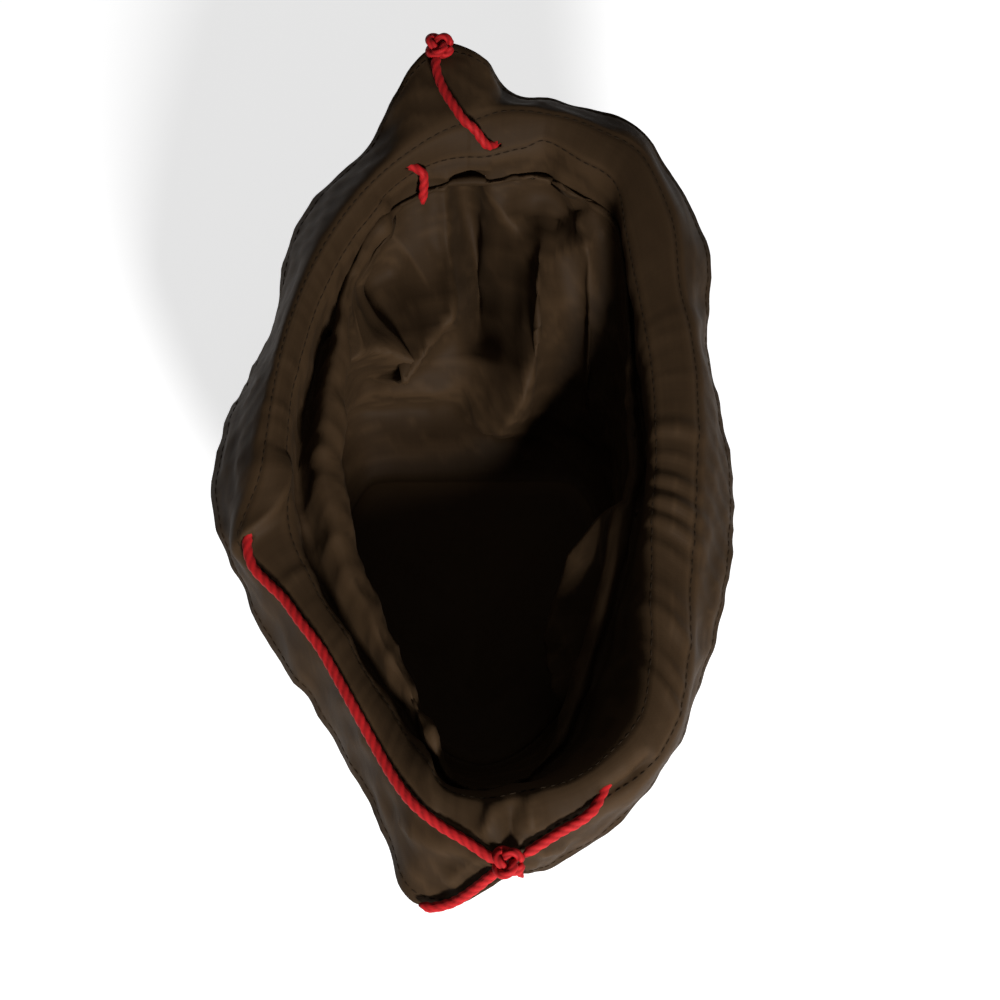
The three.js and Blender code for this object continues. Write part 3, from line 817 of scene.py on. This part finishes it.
def grid_faces(rows, columns, keep=None):
    """Quads between closed rows, seen from the inside of the pouch."""
    faces = []
    for r in range(rows - 1):
        for c in range(columns):
            if keep is None or keep[r, c]:
                d = (c + 1) % columns
                upper = r * columns
                lower = upper + columns
                faces.append((upper + c, lower + c, lower + d, upper + d))
    return faces


def cloth_piece(name, rows, material, keep=None):
    """A cloth bag from rows that end in a small ring round the middle of its base."""
    count, columns = rows.shape[:2]
    centre = rows[-1].mean(axis=0)
    points = np.concatenate([rows.reshape(-1, 3), centre[None]])
    faces = grid_faces(count, columns, keep)
    last = (count - 1) * columns
    faces += [(last + c, len(points) - 1, last + (c + 1) % columns) for c in range(columns)]
    piece = new_piece(name, points, faces, material)
    along = np.linalg.norm(np.diff(rows, axis=0), axis=2).mean(axis=1)
    v = np.concatenate([[0], np.cumsum(along)])
    ring = np.linalg.norm(np.roll(rows[CREST_ROW], -1, axis=0) - rows[CREST_ROW], axis=1)
    u = np.concatenate([[0], np.cumsum(ring)[:-1]])
    uv = np.stack(np.broadcast_arrays(u[None, :], v[:, None]), axis=-1).reshape(-1, 2)
    set_uv(piece.data, "cloth", np.concatenate([uv, [[0, v[-1]]]]))
    # How sharply the cloth bends into a ridge, which sets the painted highlight along its folds
    curve = np.zeros(rows.shape[:2])
    curve[1:-1] = -((rows[2:] + rows[:-2] - 2 * rows[1:-1]) * normals_of(rows)[1:-1]).sum(axis=2)
    ridge_highlight = np.clip(curve / (HIGHLIGHT_CURVE * MM), 0, 1)
    set_attribute(piece.data, "ridge_highlight", np.append(ridge_highlight.ravel(), 0))
    return piece


def thickened(piece, thickness):
    """Gives a sheet its thickness, half to each side, with closed rims."""
    solid = piece.modifiers.new("thickness", "SOLIDIFY")
    solid.thickness = thickness
    solid.offset = 0
    solid.use_rim = True
    apply_modifiers(piece)


def apply_modifiers(piece):
    """Replaces a piece's mesh by what its modifiers make of it."""
    graph = bpy.context.evaluated_depsgraph_get()
    made = bpy.data.meshes.new_from_object(piece.evaluated_get(graph), depsgraph=graph)
    old = piece.data
    piece.modifiers.clear()
    piece.data = made
    made.name = piece.name
    bpy.data.meshes.remove(old)


def stitch_tree():
    """Node tree that lays rounded stitches along edges, and the identifiers of its named inputs."""
    tree = bpy.data.node_groups.new("stitch_row", "GeometryNodeTree")
    kinds = {"Edges": "NodeSocketGeometry", "Pitch": "NodeSocketFloat", "Length": "NodeSocketFloat",
             "Thickness": "NodeSocketFloat", "Thread": "NodeSocketMaterial"}
    sockets = {name: tree.interface.new_socket(name, in_out="INPUT", socket_type=kind).identifier
               for name, kind in kinds.items()}
    tree.interface.new_socket("Stitches", in_out="OUTPUT", socket_type="NodeSocketGeometry")

    def node(kind, links, **settings):
        made = tree.nodes.new(kind)
        for name, value in settings.items():
            setattr(made, name, value)
        for key, socket in links.items():
            tree.links.new(socket, made.inputs[key])
        return made.outputs

    given = node("NodeGroupInput", {})
    curve = node("GeometryNodeMeshToCurve", {"Mesh": given["Edges"]})
    spaced = {"Curve": curve["Curve"], "Length": given["Pitch"]}
    even = node("GeometryNodeResampleCurve", spaced, mode="LENGTH")
    bead = node("GeometryNodeMeshUVSphere", {})
    bead[0].node.inputs["Segments"].default_value = 8
    bead[0].node.inputs["Rings"].default_value = 6
    bead[0].node.inputs["Radius"].default_value = 0.5
    thick = given["Thickness"]
    size = node("ShaderNodeCombineXYZ", {"X": thick, "Y": thick, "Z": given["Length"]})
    tangent = node("GeometryNodeInputTangent", {})
    turned = node("FunctionNodeAlignRotationToVector", {"Vector": tangent["Tangent"]}, axis="Z")
    laid = node("GeometryNodeInstanceOnPoints", {
        "Points": even["Curve"], "Instance": bead["Mesh"],
        "Rotation": turned["Rotation"], "Scale": size["Vector"]})
    real = node("GeometryNodeRealizeInstances", {"Geometry": laid["Instances"]})
    coated = node("GeometryNodeSetMaterial", {"Geometry": real["Geometry"], "Material": given["Thread"]})
    node("NodeGroupOutput", {"Stitches": coated["Geometry"]})
    return tree, sockets


def rope(name, path, diameter, material, plies=3, lay=0.011, sides=20):
    """A twisted cord along a path: a lobed section that turns as it goes."""
    path = np.asarray(path)
    count = len(path)
    tangent = np.gradient(path, axis=0)
    tangent /= np.linalg.norm(tangent, axis=1, keepdims=True)
    side = np.cross(tangent[0], (0, 0, 1.0))
    side /= np.linalg.norm(side)
    along = lengths_along(path)
    turn = np.arange(sides) / sides * 2 * np.pi
    points, uv, ply = [], [], []
    for i in range(count):
        side = side - tangent[i] * (side @ tangent[i])
        side /= np.linalg.norm(side)
        other = np.cross(tangent[i], side)
        lobe = np.abs(np.cos(plies / 2 * (turn - along[i] / lay * 2 * np.pi)))
        end = min(1.0, ROPE_END + (1 - ROPE_END) * min(i, count - 1 - i) / 2)
        radius = diameter / 2 * (ROPE_CORE + ROPE_PLY * lobe**PLY_ROUND) * end
        across = np.outer(np.cos(turn) * radius, side)
        points.append(path[i] + across + np.outer(np.sin(turn) * radius, other))
        uv.append(np.stack([np.full(sides, along[i]), turn * diameter / 2], axis=1))
        ply.append(lobe)
    points = np.concatenate([*points, path[[0, -1]]])
    faces = []
    for i in range(count - 1):
        for k in range(sides):
            m = (k + 1) % sides
            faces.append((i * sides + k, i * sides + m, (i + 1) * sides + m, (i + 1) * sides + k))
    first, last = len(points) - 2, len(points) - 1
    for k in range(sides):
        m = (k + 1) % sides
        faces.append((first, m, k))
        faces.append((last, (count - 1) * sides + k, (count - 1) * sides + m))
    piece = new_piece(name, points, faces, material)
    set_uv(piece.data, "cord", np.concatenate([*uv, [[0, 0], [along[-1], 0]]]))
    # The ply attribute is 1 on the crowns of the plies and 0 in the grooves; it sets the painted shade in
    # the grooves and the roughness
    set_attribute(piece.data, "ply", np.concatenate([*ply, [0, 0]]))
    return piece


# The lining's surface, once it is made
MADE = {}


def lining():
    """The one lining surface that the other pieces are placed on."""
    if "surface" not in MADE:
        MADE["surface"] = Lining()
    return MADE["surface"]


def cord_points(route):
    """The middle of a cord along its route: under the cloth in the casing, over the gathers on top of it."""
    s = sizes()
    lift = s.cloth / 2 + s.clearance + s.cord / 2
    points = []
    for bearing, across, side in route:
        spread = max(0.0, 1 - abs(across - CASING_MIDDLE) / GATHER_SPREAD)
        gathers = GATHER_SHARE * s.gather_depth * spread
        more = gathers if side > 0 else CASING_SINK * MM
        points.append(lining().point(bearing, across, side * (lift + more)))
    return points + FRAME_SHIFT


def rope_path(route, step=0.0012):
    points = cord_points(route)
    return smooth_line(points, int(path_length(points) / step))


def path_length(path):
    return float(np.linalg.norm(np.diff(path, axis=0), axis=1).sum())


def on_root(piece):
    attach(piece, "root")


class POUCH_OT_lining(bpy.types.Operator):
    """Makes the lining with its folds, gathered casing and buttonholes"""

    bl_idname = "pouch.lining"
    bl_label = "Lining"

    def execute(self, context):
        s, tone = sizes(), colours()
        rows = lining().rows + FRAME_SHIFT
        finish = cloth_finish("lining_cotton", tone.lining, 0.6)
        piece = cloth_piece("lining_cloth", rows, finish, self.uncut(lining()))
        thickened(piece, s.cloth)
        on_root(piece)
        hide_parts("lining")
        return {"FINISHED"}

    def uncut(self, surface):
        """Which quads stay: those outside the buttonholes, which lie along the cords' crossings."""
        s = sizes()
        middle = (surface.smooth[:-1] + np.roll(surface.smooth[1:], -1, axis=1)) / 2
        keep = np.ones(middle.shape[:2], bool)
        for route in (LEFT_CORD_ROUTE, RIGHT_CORD_ROUTE):
            for (b0, a0, _), (bearing, across, side), (b1, a1, _) in zip(route, route[1:], route[2:]):
                if side == 0:
                    away = surface.point(b1, a1, 0) - surface.point(b0, a0, 0)
                    away /= np.linalg.norm(away)
                    off = middle - surface.point(bearing, across, 0)
                    along = off @ away
                    beside = np.linalg.norm(off - along[..., None] * away, axis=2)
                    keep &= (along / s.slit_length) ** 2 + (beside / s.slit_width) ** 2 > 0.25
        return keep


class POUCH_OT_shell(bpy.types.Operator):
    """Makes the outer bag: it follows the lining down to the neck and hangs free below"""

    bl_idname = "pouch.shell"
    bl_label = "Outer bag"

    def execute(self, context):
        s, tone = sizes(), colours()
        surface = lining()
        end = NECK_ROW + 1
        inside = np.clip(1 - np.abs(surface.across[:end] - CASING_MIDDLE) / CASING_HALF, 0, 1)
        tunnel = np.minimum(1, inside * CASING_RAMP) * (s.cord + 2 * s.clearance - s.layer_gap)
        room = s.cloth + s.layer_gap + tunnel
        under = room[:, None] + surface.puckers()[:end]
        band = surface.smooth[:end] - surface.normals[:end] * under[..., None]
        rows = np.concatenate([band, self.below(surface.bearings, band[-1])]) + FRAME_SHIFT
        finish = cloth_finish("shell_cotton", tone.shell, 0.72)
        piece = cloth_piece("outer_cloth", rows, finish)
        thickened(piece, s.cloth)
        on_root(piece)
        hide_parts("outer_shell")
        return {"FINISHED"}

    def below(self, bearings, neck):
        """Rows of the outer bag from the neck down to the middle of its base."""
        s = sizes()
        out = outwards(bearings) * waves(bearings, s.drape_depth, DRAPE_WAVES)[:, None]
        one = np.ones(len(bearings))
        reach = around(BODY_RING, bearings)[:, 0]
        body = on_ellipse(bearings, s.body_width, s.body_length, reach, s.body_full_height)
        shoulder = body + (neck - body) * SHOULDER + out
        foot = on_ellipse(bearings, s.foot_width, s.foot_length, one, s.cloth / 2)
        underside = on_ellipse(bearings, s.foot_width, s.foot_length, one * SHELL_INNER, s.cloth / 2)
        rows = spline_rows([neck, shoulder, body + out, foot, underside], SHELL_STEPS)[1:]
        rows[..., 2] = np.maximum(rows[..., 2], s.cloth / 2)
        return rows


class POUCH_OT_cords(bpy.types.Operator):
    """Makes the red cords, their tails and their knots"""

    bl_idname = "pouch.cords"
    bl_label = "Cords"

    def execute(self, context):
        s = sizes()
        red = cord_finish("cord_cotton", colours().cord)
        near = self.knot("near_knot_cord", NEAR_KNOT_SEAT, red, "near_knot")
        far = self.knot("far_knot_cord", FAR_KNOT_SEAT, red, "far_knot")
        short = rope("short_tail_cord", rope_path(SHORT_TAIL_ROUTE), s.cord, red)
        on_root(short)
        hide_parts("short_tail")
        self.cord("left_cord", LEFT_CORD_ROUTE, red, "left_draw_cord", "object", [near, short])
        self.cord("right_cord", RIGHT_CORD_ROUTE, red, "right_draw_cord", "knot", [far])
        self.cord("pull_tail_cord", PULL_TAIL_ROUTE, red, "pull_tail", "bare", [])
        return {"FINISHED"}

    def cord(self, name, route, red, node, far_end, pieces):
        s = sizes()
        path = rope_path(route)
        piece = rope(name, path, s.cord, red)
        on_root(piece)
        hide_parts(node)

    def knot(self, name, seat, red, node):
        s = sizes()
        centre = cord_points([(*seat, 1)])[0] + np.array([0, 0, KNOT_LIFT * MM])
        t = np.linspace(0, 2 * np.pi, KNOT_POINTS)
        ring = 1 + KNOT_WAIST * np.cos(3 * t)
        turns = [ring * np.cos(2 * t), ring * np.sin(2 * t), KNOT_RISE * np.sin(3 * t)]
        path = np.stack(turns, axis=1) * KNOT_SIZE * MM
        piece = rope(name, centre + path, s.cord * KNOT_CORD, red)
        on_root(piece)
        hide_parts(node)
        return piece


class POUCH_OT_stitches(bpy.types.Operator):
    """Sews the rows of stitches along the hem, the crest and the neck"""

    bl_idname = "pouch.stitches"
    bl_label = "Stitches"

    def execute(self, context):
        thread = thread_finish("thread_cotton", colours().thread)
        points, edges = [], []
        for across in STITCH_LINES:
            line = lining().line(across, sizes().cloth / 2) + FRAME_SHIFT
            first = len(points)
            points += [tuple(p) for p in line]
            edges += [(first + k, first + (k + 1) % len(line)) for k in range(len(line))]
        piece = new_piece("stitches", points, [], None, edges)
        self.sew(piece, thread)
        on_root(piece)
        return {"FINISHED"}

    def sew(self, piece, thread):
        """Sets a stitch at each step along the piece's edges, by geometry nodes."""
        s = sizes()
        tree, sockets = stitch_tree()
        sewn = piece.modifiers.new("stitches", "NODES")
        sewn.node_group = tree
        wanted = {"Pitch": s.stitch_pitch, "Length": s.stitch_length,
                  "Thickness": s.thread, "Thread": thread}
        for name, value in wanted.items():
            sewn[sockets[name]] = value
        apply_modifiers(piece)
        bpy.data.node_groups.remove(tree)


class POUCH_OT_stage(bpy.types.Operator):
    """Sets the floor, the surroundings, the lamps and the camera"""

    bl_idname = "pouch.stage"
    bl_label = "Stage"

    def execute(self, context):
        self.floor()
        self.world()
        for row in LAMPS:
            self.lamp(*row)
        self.camera()
        bpy.context.scene.view_settings.view_transform = "Standard"
        return {"FINISHED"}

    def floor(self):
        f = Finish("pale_floor")
        grain = f.noise(f.node("ShaderNodeTexCoord", output=3), 6.0)
        tone = tuple(colours().floor)
        path = f.node("ShaderNodeLightPath")
        seen = [Value(f, path.socket.node.outputs[k]) for k in
                ("Is Camera Ray", "Is Glossy Ray", "Is Transmission Ray")]
        shown = seen[0].most(seen[1]).most(seen[2])
        f.set(Base_Color=f.mixed(grain, shaded(tone, 0.99), tone), Roughness=0.9, Specular_IOR_Level=0.1)
        f.set(Emission_Color=f.mixed(shown, (0, 0, 0), (FLOOR_GLOW,) * 3), Emission_Strength=1.0)
        corners = [(FLOOR_REACH * x, FLOOR_REACH * y, 0) for x, y in ((-1, -1), (1, -1), (1, 1), (-1, 1))]
        floor = new_piece("floor", corners, [(0, 1, 2, 3)], f.material)

    def world(self):
        world = bpy.data.worlds.new("studio")
        world.use_nodes = True
        tree = world.node_tree
        path = tree.nodes.new("ShaderNodeLightPath")
        strength = tree.nodes.new("ShaderNodeMapRange")
        strength.inputs["To Min"].default_value = FILL
        tree.links.new(path.outputs["Is Camera Ray"], strength.inputs["Value"])
        background = tree.nodes["Background"]
        background.inputs["Color"].default_value = (1, 1, 1, 1)
        tree.links.new(strength.outputs["Result"], background.inputs["Strength"])
        bpy.context.scene.world = world

    def lamp(self, name, place, size, power):
        light = bpy.data.lights.new(name, "AREA")
        light.shape = "DISK"
        light.size = size
        light.energy = power
        lamp = bpy.data.objects.new(name, light)
        lamp.location = place
        lamp.rotation_euler = (Vector(LAMP_TARGET) - Vector(place)).to_track_quat("-Z", "Y").to_euler()
        bpy.context.scene.collection.objects.link(lamp)

    def camera(self):
        elevation = math.radians(CAMERA_ELEVATION)
        back = Vector((0, -math.cos(elevation), math.sin(elevation)))
        data = bpy.data.cameras.new("camera")
        data.sensor_width = SENSOR
        data.lens = SENSOR * CAMERA_DISTANCE / CAMERA_WIDTH
        camera = bpy.data.objects.new("camera", data)
        camera.location = Vector(CAMERA_TARGET) + back * CAMERA_DISTANCE
        camera.rotation_euler = (-back).to_track_quat("-Z", "Y").to_euler()
        bpy.context.scene.collection.objects.link(camera)
        bpy.context.scene.camera = camera


OPERATORS = (POUCH_OT_stage, POUCH_OT_lining, POUCH_OT_shell, POUCH_OT_cords, POUCH_OT_stitches)


class POUCH_PT_panel(bpy.types.Panel):
    """Lists the pouch's sizes, colours and pieces"""

    bl_idname = "POUCH_PT_panel"
    bl_label = "Pouch"
    bl_space_type = "VIEW_3D"
    bl_region_type = "UI"
    bl_category = "Pouch"

    def draw(self, context):
        for group in (context.scene.pouch_sizes, context.scene.pouch_colours):
            for name in group.__annotations__:
                self.layout.prop(group, name)
        for operator in OPERATORS:
            self.layout.operator(operator.bl_idname)


CLASSES = (PouchSizes, PouchColours, *OPERATORS, POUCH_PT_panel)


def register():
    for cls in CLASSES:
        bpy.utils.register_class(cls)
    bpy.types.Scene.pouch_sizes = bpy.props.PointerProperty(type=PouchSizes)
    bpy.types.Scene.pouch_colours = bpy.props.PointerProperty(type=PouchColours)


def unregister():
    del bpy.types.Scene.pouch_sizes
    del bpy.types.Scene.pouch_colours
    for cls in reversed(CLASSES):
        bpy.utils.unregister_class(cls)


def main():
    register()
    bpy.ops.pouch.stage()
    bpy.ops.pouch.lining()
    bpy.ops.pouch.shell()
    bpy.ops.pouch.cords()
    bpy.ops.pouch.stitches()


if __name__ == "__main__":
    main()
